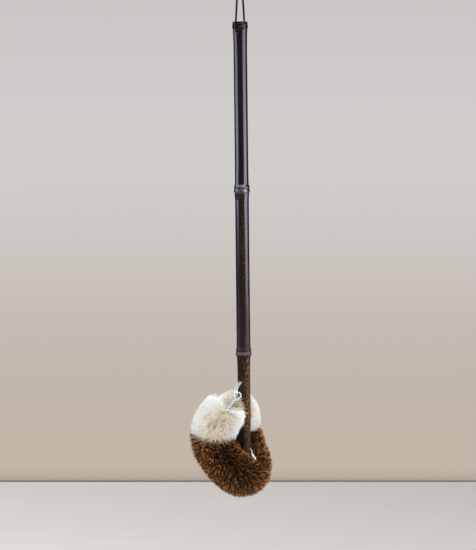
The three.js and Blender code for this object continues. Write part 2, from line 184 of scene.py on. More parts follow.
class Nodes:
    """Short ways to add and join a material's nodes."""

    def __init__(self, made):
        self.tree = made.node_tree
        self.shader = self.tree.nodes["Principled BSDF"]

    def add(self, kind, **inputs):
        node = self.tree.nodes.new("ShaderNode" + kind)
        for name, value in inputs.items():
            self.put(node.inputs[name.replace("_", " ")], value)
        return node

    def put(self, socket, value):
        if isinstance(value, bpy.types.NodeSocket):
            self.tree.links.new(value, socket)
        else:
            socket.default_value = value

    def math(self, operation, a, b=0.0, clamp=False):
        node = self.tree.nodes.new("ShaderNodeMath")
        node.operation = operation
        node.use_clamp = clamp
        self.put(node.inputs[0], a)
        self.put(node.inputs[1], b)
        return node.outputs[0]

    def place(self, scale=(1, 1, 1)):
        """Where a point of the surface is, in metres, times a scale along each axis."""
        coordinates = self.tree.nodes.new("ShaderNodeTexCoord").outputs["Object"]
        return self.add("Mapping", Vector=coordinates, Scale=scale).outputs["Vector"]

    def part(self, axis):
        return self.add("SeparateXYZ", Vector=self.place()).outputs[axis]

    def noise(self, scale, stretch=(1, 1, 1), detail=4.0, roughness=0.6):
        node = self.add("TexNoise", Vector=self.place(stretch), Scale=scale, Detail=detail)
        node.inputs["Roughness"].default_value = roughness
        return node.outputs["Fac"]

    def span(self, value, low, high, to_low=0.0, to_high=1.0):
        """Goes from to_low where the value is low to to_high where it is high, and stops there."""
        ends = dict(From_Min=low, From_Max=high, To_Min=to_low, To_Max=to_high)
        return self.add("MapRange", Value=value, **ends).outputs["Result"]

    def mix(self, factor, a, b):
        node = self.tree.nodes.new("ShaderNodeMix")
        node.data_type = "RGBA"
        self.put(node.inputs["Factor"], factor)
        self.put(node.inputs["A"], (*a, 1) if isinstance(a, tuple) else a)
        self.put(node.inputs["B"], (*b, 1) if isinstance(b, tuple) else b)
        return node.outputs["Result"]

    def bump(self, height, distance, strength=1.0):
        node = self.add("Bump", Height=height, Distance=distance, Strength=strength)
        self.put(self.shader.inputs["Normal"], node.outputs["Normal"])


def cord_material():
    made = new_material("waxed_black_cord", (0.006, 0.006, 0.006), 0.8, 0, Specular_IOR_Level=0.03)
    n = Nodes(made)
    weave = n.noise(2600, (1, 1, 0.5), 2)
    n.put(n.shader.inputs["Base Color"], n.mix(weave, (0.002, 0.002, 0.002), (0.009, 0.009, 0.009)))
    n.bump(weave, 0.0002)
    return made


def steel_material(name, color, metallic):
    made = new_material(name, color, 0.32, metallic)
    n = Nodes(made)
    n.put(n.shader.inputs["Roughness"], n.span(n.noise(900), 0.3, 0.7, 0.16, 0.34))
    return made


CORD = cord_material()
STEEL = steel_material("drawn_steel", (0.58, 0.66, 0.78), 0.95)
TIE_STEEL = steel_material("galvanised_wire", (0.80, 0.84, 0.90), 0.45)
cord.data.materials.append(CORD)


# ---- meshes ----------------------------------------------------------------------------------

ROD_SIDES = 10
ROD_PER = 3


def mesh_object(name, vertices, faces, materials, slots=None, shade_smooth=True):
    """Makes a mesh. Vertices are in mm, and slots holds a material number for each face."""
    data = bpy.data.meshes.new(name)
    data.from_pydata((np.asarray(vertices) * MM).tolist(), [], faces)
    for made in materials:
        data.materials.append(made)
    if slots is not None:
        data.polygons.foreach_set("material_index", np.asarray(slots, dtype=np.int32))
    if shade_smooth:
        data.polygons.foreach_set("use_smooth", np.ones(len(data.polygons), dtype=bool))
    data.update()
    made = bpy.data.objects.new(name, data)
    bpy.context.collection.objects.link(made)
    return made


def tube_faces(rings, sides):
    """The faces of a tube of rings with so many corners each, closed at both ends."""
    faces = []
    for i in range(rings - 1):
        a, b = i * sides, (i + 1) * sides
        faces += [[a + j, a + (j + 1) % sides, b + (j + 1) % sides, b + j] for j in range(sides)]
    faces.append(list(range(sides))[::-1])
    faces.append([(rings - 1) * sides + j for j in range(sides)])
    return faces


def rod(name, points, radius, made):
    """A round wire through points in mm, closed at both ends."""
    line = smooth(points, ROD_PER)
    _, normals, binormals = transported(line)
    angles = (TURN * np.arange(ROD_SIDES) / ROD_SIDES)[None, :, None]
    around = np.cos(angles) * normals[:, None] + np.sin(angles) * binormals[:, None]
    vertices = (line[:, None] + around * radius).reshape(-1, 3)
    return mesh_object(name, vertices, tube_faces(len(line), ROD_SIDES), [made])


# ---- core of the brush -----------------------------------------------------------------------

# Two legs of one wire twisted round the core line. A lay is the length of one turn.
WIRE_RADIUS = 0.7
LEG_OFFSET = 0.82
TAIL_LAY = 6
CORE_LAY = 14
STEPS_PER_LAY = 8
EYELET_CENTRE = np.array((-1.9, -19, -472.6))
EYELET_RADIUS = 3.35
EYELET_PARTS = 14
EYELET_ARC = (math.radians(38), math.radians(322))
EYELET_TIE_ANGLE = math.radians(250)
LEG_STAGGER = 1
TAIL_ROUTE = [(-4.6, -19.8, -476), (-9.1, -21.2, -482)]
RING_ROUTE = [
    (-14.5, -22, -487.7), (-20.7, -23.8, -495.2), (-24.4, -24.4, -502.7), (-25.7, -22.8, -510.8),
    (-24.8, -20.2, -519.2), (-21.2, -17.5, -528.4), (-13.5, -14.5, -539.2), (-4, -9.5, -549.2),
    (4, -2.5, -553.3), (8.8, 6, -549.5), (8.1, 14, -541.7), (3.8, 20, -531.2),
    (-0.2, 23, -518.4), (-1.9, 22, -505.2), (-2.5, 16.5, -496.2), (-4, 8.5, -491.8),
    (-5.7, 3, -490.5),
]
# The turn of one leg's end round the foot of the tail, which closes the ring.
CLAMP_RADIUS = 2.4
CLAMP_LAY = 1.6
CLAMP_TURNS = 1
CLAMP_STEPS = 12
CLAMP_GAP = 1
CLAMP_WAY_SHARES = (0.35, 0.7)

CORE_PER = 24
core_line = smooth([*TAIL_ROUTE, *RING_ROUTE], CORE_PER)
core_lengths = lengths(core_line)
core_frames = transported(core_line)
CORE_LENGTH = core_lengths[-1]
FIBRE_START = core_lengths[CORE_PER * len(TAIL_ROUTE)]
FIBRE_LENGTH = CORE_LENGTH - FIBRE_START


def core_at(length):
    """Point, tangent and two cross directions at lengths along the core, straight past an end."""
    length = np.asarray(length, float)
    inside = np.clip(length, 0, CORE_LENGTH)

    def between(values):
        return np.stack([np.interp(inside, core_lengths, values[:, k]) for k in range(3)], axis=-1)

    tangent, normal, binormal = (between(values) for values in core_frames)
    point = between(core_line) + tangent * (length - inside)[..., None]
    return point, tangent, normal, binormal


def beside_core(length, angle, radius):
    """A point at a distance from the core line, at an angle round it."""
    point, _, normal, binormal = core_at(length)
    return point + radius * (math.cos(angle) * normal + math.sin(angle) * binormal)


def angle_round(length, direction):
    """The angle round the core line at which a direction points."""
    _, _, normal, binormal = core_at(length)
    return math.atan2(direction @ binormal, direction @ normal)


def leg_angle(length):
    tail = min(length, FIBRE_START)
    return TURN * (tail / TAIL_LAY + (length - tail) / CORE_LAY)


def leg(start_angle, end):
    """One of the two legs that are twisted round each other, from the tail's tip to a length."""
    points, length = [], 0.0
    while length < end:
        points.append(beside_core(length, start_angle + leg_angle(length), LEG_OFFSET))
        length += (TAIL_LAY if length < FIBRE_START else CORE_LAY) / STEPS_PER_LAY
    return points


eyelet_away = unit(core_at(0)[0] - EYELET_CENTRE)
eyelet_across = unit(np.cross(eyelet_away, (0, 1, 0)))


def in_eyelet(angle):
    return math.cos(angle) * eyelet_away + math.sin(angle) * eyelet_across


def on_eyelet(angle):
    return EYELET_CENTRE + EYELET_RADIUS * in_eyelet(angle)


def wound_end(start):
    """The end of a leg that comes from the rear end and is wound round the foot of the tail."""
    length = FIBRE_START - CLAMP_GAP
    foot, tangent, _, _ = core_at(length)
    arrival = foot - start
    first = angle_round(length, np.cross(arrival, tangent))
    points = [start + share * arrival for share in CLAMP_WAY_SHARES]
    for i in range(CLAMP_TURNS * CLAMP_STEPS + 1):
        turns = i / CLAMP_STEPS
        points.append(beside_core(length - CLAMP_LAY * turns, first + TURN * turns, CLAMP_RADIUS))
    return points


def core_wire():
    start_angle = angle_round(0, eyelet_across)
    short = leg(start_angle, CORE_LENGTH - LEG_STAGGER)
    long = leg(start_angle + math.pi, CORE_LENGTH + LEG_STAGGER)
    first, last = EYELET_ARC
    bow = [on_eyelet(first + (last - first) * i / EYELET_PARTS) for i in range(EYELET_PARTS + 1)]
    route = [*short[::-1], *bow, *long, *wound_end(long[-1])]
    made = rod("twisted_core_wire", route, WIRE_RADIUS, STEEL)
    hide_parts("core_wire")
    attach(made, "brush")


# ---- tie wires -------------------------------------------------------------------------------

TIE_RADIUS = 0.62
PIGTAIL_LAY = 4
PIGTAIL_OFFSET = 0.72
# The bend round the eyelet, and how far each leg is moved to its own side.
BIGHT_RADIUS = 1.6
BIGHT_SKEW = 1.1
BIGHT_DEGREES = (110, 60, 20, -20, -60, -110)
HOLE_OFFSET = 1.4
UPPER_TIE_HOLE = dict(depth=361, radius=2.1, azimuth=math.radians(41))
LOWER_TIE_HOLE = dict(depth=428.8, radius=1.2, azimuth=math.radians(-66))
# Places through the holes, in mm out from the handle's axis.
UPPER_WAY_OUT = (-6.4, 0, 6.4)
LOWER_WAY_OUT = (7, 0, -6.6)
# The upper wire's twisted ends: tip and foot above the hole, turn round the handle, way out.
UPPER_PIGTAIL = dict(tip=11, foot=2, turn=math.radians(29), out=-8.3)
LOWER_ROUTE = [
    (-2, 3.3, -530), (-2.9, 3.7, -533.3), (-2.5, 3.6, -539.8), (0.6, 1.5, -550.3),
    (2.2, 0.2, -554.4), (4.5, -2, -556.4), (6.8, -4.2, -554.4), (8.4, -5.2, -550.3),
    (11.4, -6.8, -542.8), (12.9, -7.8, -537.8), (12.6, -8.5, -534.8),
]
LOWER_PIGTAIL = [(16, -10.8, -538), (12.6, -9, -532.6)]


def pigtail(tip, foot, across):
    """Two wire ends twisted round each other along a line, both from the tips inwards."""
    tip, foot = np.array(tip, float), np.array(foot, float)
    along = foot - tip
    long = np.linalg.norm(along)
    second = unit(np.cross(along, across))
    first = unit(np.cross(second, along))
    steps = math.ceil(STEPS_PER_LAY * long / PIGTAIL_LAY)
    ends = ([], [])
    for i in range(steps + 1):
        share = i / steps
        angle = TURN * (share - 1) * long / PIGTAIL_LAY
        turned = math.cos(angle) * first + math.sin(angle) * second
        for points, side in zip(ends, (PIGTAIL_OFFSET, -PIGTAIL_OFFSET)):
            points.append(tip + along * share + side * turned)
    return ends


def bight():
    """The bend of the upper tie wire round the eyelet's wire, its two legs side by side."""
    outwards = in_eyelet(EYELET_TIE_ANGLE)
    leftwards = in_eyelet(EYELET_TIE_ANGLE + math.pi / 2)
    behind = np.cross(leftwards, outwards)
    points = []
    for degrees in BIGHT_DEGREES:
        turned = math.radians(degrees)
        step = behind * math.sin(turned) - outwards * math.cos(turned)
        aside = leftwards * BIGHT_SKEW * degrees / BIGHT_DEGREES[0]
        points.append(on_eyelet(EYELET_TIE_ANGLE) + BIGHT_RADIUS * step + aside)
    return points


def tie_wire(name, node, route):
    made = rod(name, route, TIE_RADIUS, TIE_STEEL)
    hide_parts(node)
    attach(made, "brush")


def upper_tie_wire():
    depth, azimuth = UPPER_TIE_HOLE["depth"], UPPER_TIE_HOLE["azimuth"]
    twist = UPPER_PIGTAIL
    tip = on_handle(depth - twist["tip"], azimuth - twist["turn"], twist["out"])
    foot = on_handle(depth - twist["foot"], azimuth, twist["out"])
    across = on_handle(depth, azimuth, 0, 1) - on_handle(depth, azimuth)
    one, other = pigtail(tip, foot, across)
    there = [on_handle(depth, azimuth, out, HOLE_OFFSET) for out in UPPER_WAY_OUT]
    back_again = [on_handle(depth, azimuth, out, -HOLE_OFFSET) for out in UPPER_WAY_OUT[::-1]]
    route = [*one, *there, *bight(), *back_again, *other[::-1]]
    tie_wire("upper_tie", "upper_tie_wire", route)


def lower_tie_wire():
    depth, azimuth = LOWER_TIE_HOLE["depth"], LOWER_TIE_HOLE["azimuth"]
    one, other = pigtail(*LOWER_PIGTAIL, (0, 1, 0))
    through = [on_handle(depth, azimuth, out) for out in LOWER_WAY_OUT]
    below = [np.array(point, float) for point in LOWER_ROUTE]
    tie_wire("lower_tie", "lower_tie_wire", [*one, *through, *below, *other[::-1]])


# ---- fibre -----------------------------------------------------------------------------------

# Each kind of fibre: where its packs are cut, in mm along the core, and the brush's radius.
FRONT_WHITE = dict(cuts=(0, 12.5, 25), radius=23.6)
BROWN = dict(cuts=(25, 40, 55, 72, 89, 106, 123, 141), radius=23.6)
REAR_WHITE = dict(cuts=(141, FIBRE_LENGTH - 15.5, FIBRE_LENGTH), radius=23.4)
RING_CENTRE = np.array((-6, 0, -515))
RING_POINTS = 220

# The brush's outline: round ends of these lengths, of this share of the radius at the very end,
# and a waist where brown meets rear white.
DOMES = (4.5, 9)
END_SHARES = (0.85, 0.6)
WAIST = dict(along=141, depth=0.2, width=3.4)

# How far fibres go: up to fibre from elsewhere, and round the handle or up to it.
CROWDING = 0.97
FACING_AWAY = 1e-3
STEP_OF_POINTS = 1000
HANDLE_CLEARANCE = 6.6
HANDLE_FOOT_GAP = 0.4
HEAD_ON_SHARE = 0.7
SHORTEST = 3

# How fibres lean: at the front end in degrees, at the rear end, and at the front seam.
SPREAD_LENGTH = 12
SPREAD_POWER = 1.2
FRONT_SPLAY = dict(all_round=4, right=26, near=5)
REAR_SPLAY = math.radians(50)
RIGHT_OF_TAIL = np.array((0.73, 0, -0.68))
SEAM_LEAN = math.radians(8)
SEAM_WIDTH = 10

# How uneven fibres are: more so at the ends, with tips moved about by themselves and in clumps.
END_UNRULY = 0.8
END_RAGGED = 2.2
LONGEST_TUFT = 0.3
TIP_JITTER = 0.2
TIP_BEND_POWER = 3

# Each fibre's three rings of corners: how far along the fibre, and how wide.
SEGMENT_SHARES = np.array((0.56, 0.8, 1.0))
SEGMENT_WIDTHS = np.array((1.0, 1.0, 0.6))
WIDTH_RANGE = (0.75, 1.25)

# The dense inside of a pack: a closed sheet that takes the darkest shade of its tone as painted
# shade.
INNER_SIDES = 40
INNER_STEP = 2.2
FEWEST_RINGS = 4
INNER_CLEARANCE = 0.95

# Fibres that are looked at end on are darker, as painted shade of the brush's depths seen between
# their tips. The mean is what leaves the tones' shares as given.
END_ON_POWER = 3
END_ON_MEAN = 0.2
SHADES = 3

# Each tone: the dense inside, the visible shaft and the tip. Within a tone, the steps from tip to
# inside are painted shade of the pack's depths.
BROWN_TONES = [
    ((0.006, 0.0030, 0.002), (0.009, 0.0050, 0.0030), (0.026, 0.014, 0.008)),
    ((0.007, 0.0035, 0.002), (0.036, 0.018, 0.008), (0.15, 0.074, 0.031)),
    ((0.007, 0.0035, 0.002), (0.085, 0.035, 0.011), (0.43, 0.180, 0.056)),
    ((0.007, 0.0035, 0.002), (0.160, 0.068, 0.021), (0.80, 0.400, 0.145)),
]
WHITE_TONES = [
    ((0.52, 0.39, 0.20), (0.64, 0.50, 0.27), (0.76, 0.63, 0.38)),
    ((0.76, 0.66, 0.45), (0.88, 0.82, 0.64), (0.92, 0.90, 0.80)),
    ((0.80, 0.73, 0.56), (0.89, 0.88, 0.82), (0.91, 0.93, 0.93)),
    ((0.85, 0.81, 0.68), (0.91, 0.93, 0.93), (0.93, 0.96, 0.99)),
]


def tone_materials(name, tones, roughness, specular):
    made = []
    for i, shades in enumerate(tones):
        for part, color in zip(("deep", "middle", "tip"), shades):
            made.append(new_material(
                f"{name}_{part}_{i + 1}", color, roughness, Specular_IOR_Level=specular,
            ))
    return made


BROWN_FIBRE = tone_materials("palm_fibre", BROWN_TONES, 0.65, 0.1)
WHITE_FIBRE = tone_materials("sisal_fibre", WHITE_TONES, 0.6, 0.3)

ring_line = core_at(np.linspace(FIBRE_START, CORE_LENGTH, RING_POINTS))[0]


def free_reach(points, directions):
    """How far fibres reach before they meet fibre from elsewhere along the core."""
    reach = []
    for first in range(0, len(points), STEP_OF_POINTS):
        last = first + STEP_OF_POINTS
        some, ways = points[first:last], directions[first:last]
        apart = ring_line[None] - some[:, None]
        towards = np.einsum("ijk,ik->ij", apart, ways)
        squares = np.einsum("ijk,ijk->ij", apart, apart)
        halves = squares / (2 * np.maximum(towards, FACING_AWAY))
        reach.append(np.where(towards > FACING_AWAY, halves, np.inf).min(axis=1))
    return CROWDING * np.concatenate(reach)


def dome_share(along):
    """1 in the middle of the brush, down to 0 at its ends."""
    return np.clip(np.minimum(along / DOMES[0], (FIBRE_LENGTH - along) / DOMES[1]), 0, 1)


def brush_radius(along, radius):
    """The brush's outline as a radius at lengths along the fibre."""
    end = np.where(along < FIBRE_LENGTH / 2, *END_SHARES)
    waist = 1 - WAIST["depth"] * np.exp(-((along - WAIST["along"]) / WAIST["width"]) ** 2)
    return radius * waist * (end + (1 - end) * np.sqrt(1 - (1 - dome_share(along)) ** 2))


handle_axis = CULM_TURN @ np.array((0, 0, -1.0))


def clear_of_handle(points):
    """Moves points that are inside the handle out to its surface."""
    apart = points - RIM_CENTRE
    depth = apart @ handle_axis
    across = apart - depth[..., None] * handle_axis
    distance = np.linalg.norm(across, axis=-1)
    inside = (distance < HANDLE_CLEARANCE) & (depth < HANDLE_LENGTH + HANDLE_FOOT_GAP)
    scale = np.where(inside, HANDLE_CLEARANCE / np.maximum(distance, 1e-6), 1.0)
    return RIM_CENTRE + depth[..., None] * handle_axis + across * scale[..., None]


def reach_to_handle(points, directions, reach):
    """Shortens fibres that point straight at the handle."""
    apart = points - RIM_CENTRE
    a = directions - (directions @ handle_axis)[:, None] * handle_axis
    b = apart - (apart @ handle_axis)[:, None] * handle_axis
    aa, ab, bb = (a * a).sum(1), (a * b).sum(1), (b * b).sum(1)
    nearest = np.sqrt(np.maximum(bb - ab ** 2 / np.maximum(aa, 1e-9), 0))
    root = ab ** 2 - aa * (bb - HANDLE_CLEARANCE ** 2)
    entry = (-ab - np.sqrt(np.maximum(root, 0))) / np.maximum(aa, 1e-9)
    depth = (apart + directions * entry[:, None]) @ handle_axis
    hit = (root > 0) & (entry > 0) & (entry < reach) & (depth < HANDLE_LENGTH)
    direct = hit & (nearest < HEAD_ON_SHARE * HANDLE_CLEARANCE)
    return np.where(direct, entry, reach)


def spread_share(along):
    """How much of the splay at an end is left at a length along the fibre."""
    from_end = np.minimum(along, FIBRE_LENGTH - along)
    return np.clip(1 - from_end / SPREAD_LENGTH, 0, 1) ** SPREAD_POWER


def front_splay(direction):
    """The front end's fibres lean over its tail, most on the right and least on the near side."""
    right = np.clip(direction @ RIGHT_OF_TAIL, 0, 1)
    near = np.clip(-direction[:, 1], 0, 1)
    lean = FRONT_SPLAY
    return np.radians(lean["all_round"] + lean["right"] * right - lean["near"] * near ** 2)


def seam_lean(along, direction):
    """Fibres that face the front lean down along the core where white meets brown."""
    near = np.clip(-direction[:, 1], 0, 1)
    return SEAM_LEAN * near * np.exp(-((along - FRONT_WHITE["cuts"][-1]) / SEAM_WIDTH) ** 2)


def fibre_lines(low, high, radius, count, look):
    """Each fibre's points from halfway out to its tip, and the direction that it stands in."""
    along = rng.uniform(low, high, count)
    angle = rng.uniform(0, TURN, count)
    point, tangent, normal, binormal = core_at(FIBRE_START + along)
    direction = np.cos(angle)[:, None] * normal + np.sin(angle)[:, None] * binormal
    reach = np.minimum(brush_radius(along, radius), free_reach(point, direction))
    inwards = np.clip((unit(RING_CENTRE - point) * direction).sum(axis=1), 0, 1)
    reach *= 1 - look["inner_gap"] * inwards ** 2
    splay = np.where(along < FIBRE_LENGTH / 2, -front_splay(direction), REAR_SPLAY)
    spread = spread_share(along)
    splay = splay * spread + seam_lean(along, direction)
    splay += rng.normal(0, 1, count) * look["unruly"] * (1 + END_UNRULY * spread)
    direction = np.cos(splay)[:, None] * direction + np.sin(splay)[:, None] * tangent
    tips = point + direction * reach[:, None]
    tufts = [noise.noise(Vector(tip * look["tuft_scale"])) for tip in tips]
    reach *= 1 + look["tuft"] * np.minimum(tufts, LONGEST_TUFT)
    reach *= 1 - np.abs(rng.normal(0, 1, count)) * look["ragged"] * (1 + END_RAGGED * spread)
    reach = np.maximum(reach_to_handle(point, direction, reach), SHORTEST)
    tips = point + direction * reach[:, None]
    clump = np.array([noise.noise_vector(Vector(tip * look["clump_scale"])) for tip in tips])
    shift = clump * look["clump"] + rng.normal(0, TIP_JITTER, (count, 3))
    bend = (SEGMENT_SHARES ** TIP_BEND_POWER)[None, :, None]
    line = point[:, None] + direction[:, None] * (reach[:, None] * SEGMENT_SHARES)[..., None]
    line += shift[:, None] * bend * (reach / radius)[:, None, None]
    return clear_of_handle(line), direction


def fibre_rods(line, direction, thickness):
    """A thin three-sided rod along each line: its corners, side faces and end faces."""
    count, steps = line.shape[:2]
    side = unit(np.cross(direction, rng.normal(0, 1, (count, 3))))
    other = np.cross(direction, side)
    radii = thickness * SEGMENT_WIDTHS * rng.uniform(*WIDTH_RANGE, (count, 1))
    corners = []
    for k in range(3):
        turned = math.cos(TURN * k / 3) * side + math.sin(TURN * k / 3) * other
        corners.append(line + radii[..., None] * turned[:, None])
    vertices = np.stack(corners, axis=2).reshape(-1, 3)
    start = np.arange(count)[:, None, None] * 3 * steps
    start = start + np.arange(steps - 1)[None, :, None] * 3
    here, after = np.arange(3), (np.arange(3) + 1) % 3
    quads = np.stack([start + here, start + after, start + 3 + after, start + 3 + here], axis=3)
    ends = np.arange(count)[:, None] * 3 * steps + 3 * (steps - 1) + np.arange(3)
    return vertices, quads.reshape(-1, 4).tolist(), ends.tolist()


def dense_inside(low, high, radius, share):
    """Rings of corners round a pack's dense inside, and their faces."""
    stations = np.linspace(low, high, max(FEWEST_RINGS, int((high - low) / INNER_STEP)))
    turns = TURN * np.arange(INNER_SIDES) / INNER_SIDES
    rings = []
    for station in stations:
        place = np.full(INNER_SIDES, FIBRE_START + station)
        point, _, normal, binormal = core_at(place)
        direction = np.cos(turns)[:, None] * normal + np.sin(turns)[:, None] * binormal
        full = brush_radius(place - FIBRE_START, radius)
        reach = share * np.minimum(full, free_reach(point, direction))
        reach = np.minimum(reach, INNER_CLEARANCE * reach_to_handle(point, direction, reach))
        rings.append(point + direction * reach[:, None])
    return clear_of_handle(np.concatenate(rings)), tube_faces(len(rings), INNER_SIDES)


def tones_at(places, end_on, look):
    """Tone numbers, 0 is the darkest: alike for places close together, and lower as painted shade
    where end_on is 1.
    """
    speck = np.array([noise.noise(Vector(place * look["speck_scale"])) for place in places])
    order = np.argsort(np.argsort(speck + rng.normal(0, look["speck_spread"], len(places))))
    level = (order + 0.5) / len(places) - look["end_on"] * (end_on - END_ON_MEAN)
    return np.searchsorted(np.cumsum(look["tones"])[:-1], level)


def fibre_pack(name, node, cuts, radius, look):
    """A pack of single fibres between two places along the core, on a dense inside."""
    low, high = cuts
    count = int(look["per_mm"] * (high - low))
    line, direction = fibre_lines(low, high, radius, count, look)
    vertices, sides, ends = fibre_rods(line, direction, look["thickness"])
    inside, inner_faces = dense_inside(low, high, radius, look["inner_share"])
    middles = np.array([inside[face].mean(axis=0) for face in inner_faces])
    # The dense inside gets the deep shade of its tone: painted shade.
    deep = tones_at(middles, END_ON_MEAN, look) * SHADES
    inner_faces = [[corner + len(vertices) for corner in face] for face in inner_faces]
    # Fibres that stand along looked_into get darker tones: painted shade.
    end_on = unit(line[:, -1] - line[:, 0]) @ unit(np.array(look["looked_into"]))
    tone = tones_at(line[:, -1], np.clip(end_on, 0, 1) ** END_ON_POWER, look)
    middle_and_tip = tone[:, None, None] * SHADES + np.array((1, 2))[None, :, None]
    slots = np.broadcast_to(middle_and_tip, (count, 2, 3)).reshape(-1)
    slots = np.r_[slots, tone * SHADES + 2, deep]
    points = np.concatenate([vertices, inside])
    made = mesh_object(name, points, sides + ends + inner_faces, look["materials"], slots, False)
    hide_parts(node)
    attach(made, "brush")


# per_mm: fibres in each mm of core. ragged, tuft: how uneven lengths are, singly and in tufts.
# unruly: how far directions stray. clump: how far neighbours' tips move together, in mm.
# The scales are of noise in 1/mm. speck_spread mixes the tones, and tones holds each one's share.
# end_on: how much painted shade darkens fibres that stand in the direction looked_into.
# inner_share: size of the dense inside. inner_gap: how much shorter fibres are inside the ring.
WHITE_LOOK = dict(
    per_mm=620, thickness=0.115, ragged=0.04, unruly=math.radians(5),
    clump=0.8, clump_scale=0.55, tuft=0.08, tuft_scale=0.4, speck_scale=0.75, speck_spread=0.03,
    end_on=0.46, looked_into=(-0.05, -0.88, -0.46), inner_share=0.82, inner_gap=0.0,
    materials=WHITE_FIBRE, tones=(0.11, 0.19, 0.28, 0.42), slot="white_fibre",
)
BROWN_LOOK = dict(
    per_mm=540, thickness=0.16, ragged=0.035, unruly=math.radians(5),
    clump=1.1, clump_scale=0.6, tuft=0.13, tuft_scale=0.6, speck_scale=0.5, speck_spread=0.05,
    end_on=0.3, looked_into=(0.35, -0.93, 0.05), inner_share=0.62, inner_gap=0.26,
    materials=BROWN_FIBRE, tones=(0.38, 0.26, 0.20, 0.16), slot="brown_fibre",
)
REAR_LOOK = WHITE_LOOK | dict(tones=(0.16, 0.34, 0.32, 0.18), looked_into=(0, -0.86, 0.5))


def fibres():
    groups = [
        ("front_white", FRONT_WHITE, WHITE_LOOK), ("brown", BROWN, BROWN_LOOK),
        ("rear_white", REAR_WHITE, REAR_LOOK),
    ]
    for name, group, look in groups:
        for i, cuts in enumerate(zip(group["cuts"], group["cuts"][1:])):
            tuft, node = f"{name}_tuft_{i + 1}", f"{name}_fibre_{i + 1}"
            fibre_pack(tuft, node, cuts, group["radius"], look)


# ---- bamboo handle ---------------------------------------------------------------------------

# Depths are below the rim.
NODE_DEPTHS = (5.5, 169.1, 332.9)
CAVITY_RADIUS = 4
DIAPHRAGM = 2.4
VENT_RADIUS = 1.3
COUNTERSINK = 0.7
# The culm's mesh: rings close together near the nodes, slightly oval and turning along it.
CULM_SIDES = 72
RING_STEP = 4.0
RING_STEP_AT_NODE = 0.35
NODE_REACH = 10
ROUNDING = ((-0.5, 1), (-0.25, 2), (0, 3), (0.25, 2), (0.5, 1))
OVALNESS = 0.05
OVAL_TWIST = 0.02
# The groove up one side of each internode, turned by half a turn from one to the next.
GROOVE = dict(deep=0.28, azimuth=0.6, wide=0.42, clear_of_node=4, grows_over=30)
# The outside as depth and radius.
CULM_OUTLINE = [
    (0, 7.25), (1.6, 7.3), (2.6, 7.8), (3.7, 7.45), (5.5, 8.05), (7.1, 7.3), (12, 7.0),
    (25, 6.72), (148.5, 6.78), (162.4, 6.95), (164.8, 7.9), (166.9, 7.5), (169.1, 8.25),
    (171.2, 7.35), (177.5, 6.95), (228, 6.85), (317, 6.85), (326, 6.95), (328.6, 7.55),
    (330.6, 7.4), (332.9, 8.2), (335.2, 6.95), (340, 6.5), (351, 6.3), (400, 6.3), (438, 6.1),
]
HOLE_SIDES = 24
HOLE_FLARE = 3
SHARP_EDGE = math.radians(40)

# Changes of the bamboo's colour: from nothing at the first height to full at the second, in m.
AGEING = (-0.25, -0.50)
BELOW_LAST_NODE = (-0.431, -0.437)
STRIPE_STARTS = (-0.270, -0.280)
STRIPE_ENDS = (-0.43, -0.34)
# The lowest node's ridge is made pale here: a painted highlight.
HIGHLIGHT_RIDGE_ABOVE = (-0.4345, -0.4328)
HIGHLIGHT_RIDGE_BELOW = (-0.4295, -0.4312)
SHADED_FOOT = (-0.490, -0.522)
# The same to the right for the bare patch, which is the bamboo's own gold flecks together with
# painted light on its right side, and away from its middle for the bare stripe.
LIT_PATCH_ACROSS = (0.0012, 0.0072)
STRIPE_MIDDLE = 0.0030
STRIPE_HALF = (0.0034, 0.0010)
# Roughness and parts of the shine: from and to a height in m, and from and to a value.
CULM_ROUGHNESS = (-0.36, -0.44, 0.14, 0.42)
UPPER_SHINE = (-0.10, -0.22, 0.5, 0.85)
LOWER_SHINE = (-0.28, -0.40, 0.0, -0.6)
RIM_SHINE = (-0.1080, -0.1060, 0.0, -0.38)

# Pale scars of the leaf sheaths: place in mm, radius in mm, colour.
SHEATH_SCARS = [
    ((5.8, -6.4, -268.9), 2.4, (0.19, 0.135, 0.07)),
    ((3.0, -7.3, -265.3), 2.0, (0.08, 0.052, 0.026)),
    ((4.5, -5.6, -104.2), 2.4, (0.050, 0.033, 0.014)),
]
# How much the scars' edges wander with the specks, in metres.
SCAR_EDGE = 0.010


